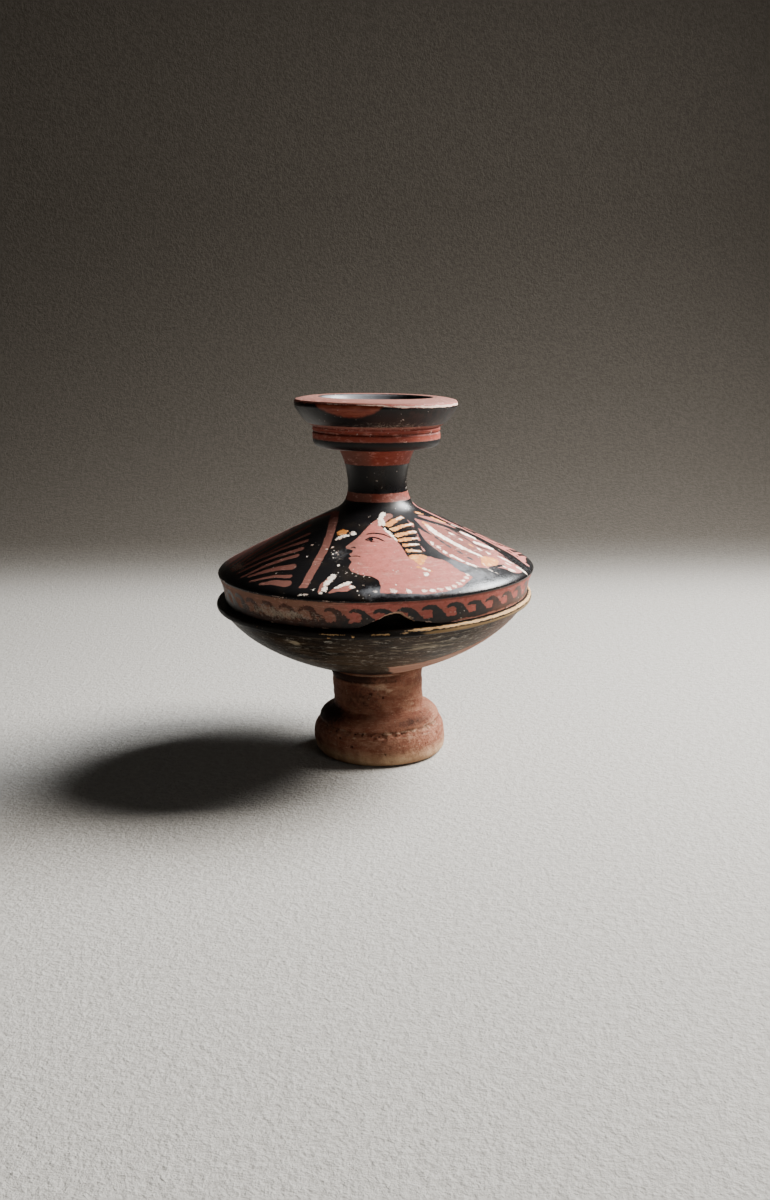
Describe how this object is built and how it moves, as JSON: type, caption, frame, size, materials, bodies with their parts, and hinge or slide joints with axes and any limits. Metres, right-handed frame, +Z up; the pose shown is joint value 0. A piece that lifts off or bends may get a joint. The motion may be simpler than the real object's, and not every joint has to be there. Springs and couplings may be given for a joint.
{
  "type": "pyxis",
  "caption": "Small footed ceramic bowl with a lift-off conical lid and dished knob, painted in the red-figure manner of southern Italy, with a chip in the lid's flange.",
  "frame": {"origin": "on the ground under the middle of the overall box, which is the middle of the rim and lid", "axes": "+Z up out of the lid's knob, -Y towards the painted front with the lady's head, +X to the right as one faces that front"},
  "size_m": [0.1008, 0.1002, 0.1146],
  "materials": {
    "bowl_clay": "fired clay, worn black gloss over the bowl, bare red-brown clay on the stem and foot",
    "lid_clay": "fired clay, black gloss with figures left in the colour of the clay and touches of white and yellow"
  },
  "bodies": {
    "root": {"bowl": "bowl_clay", "lid": "lid_clay"}
  },
  "joints": []
}
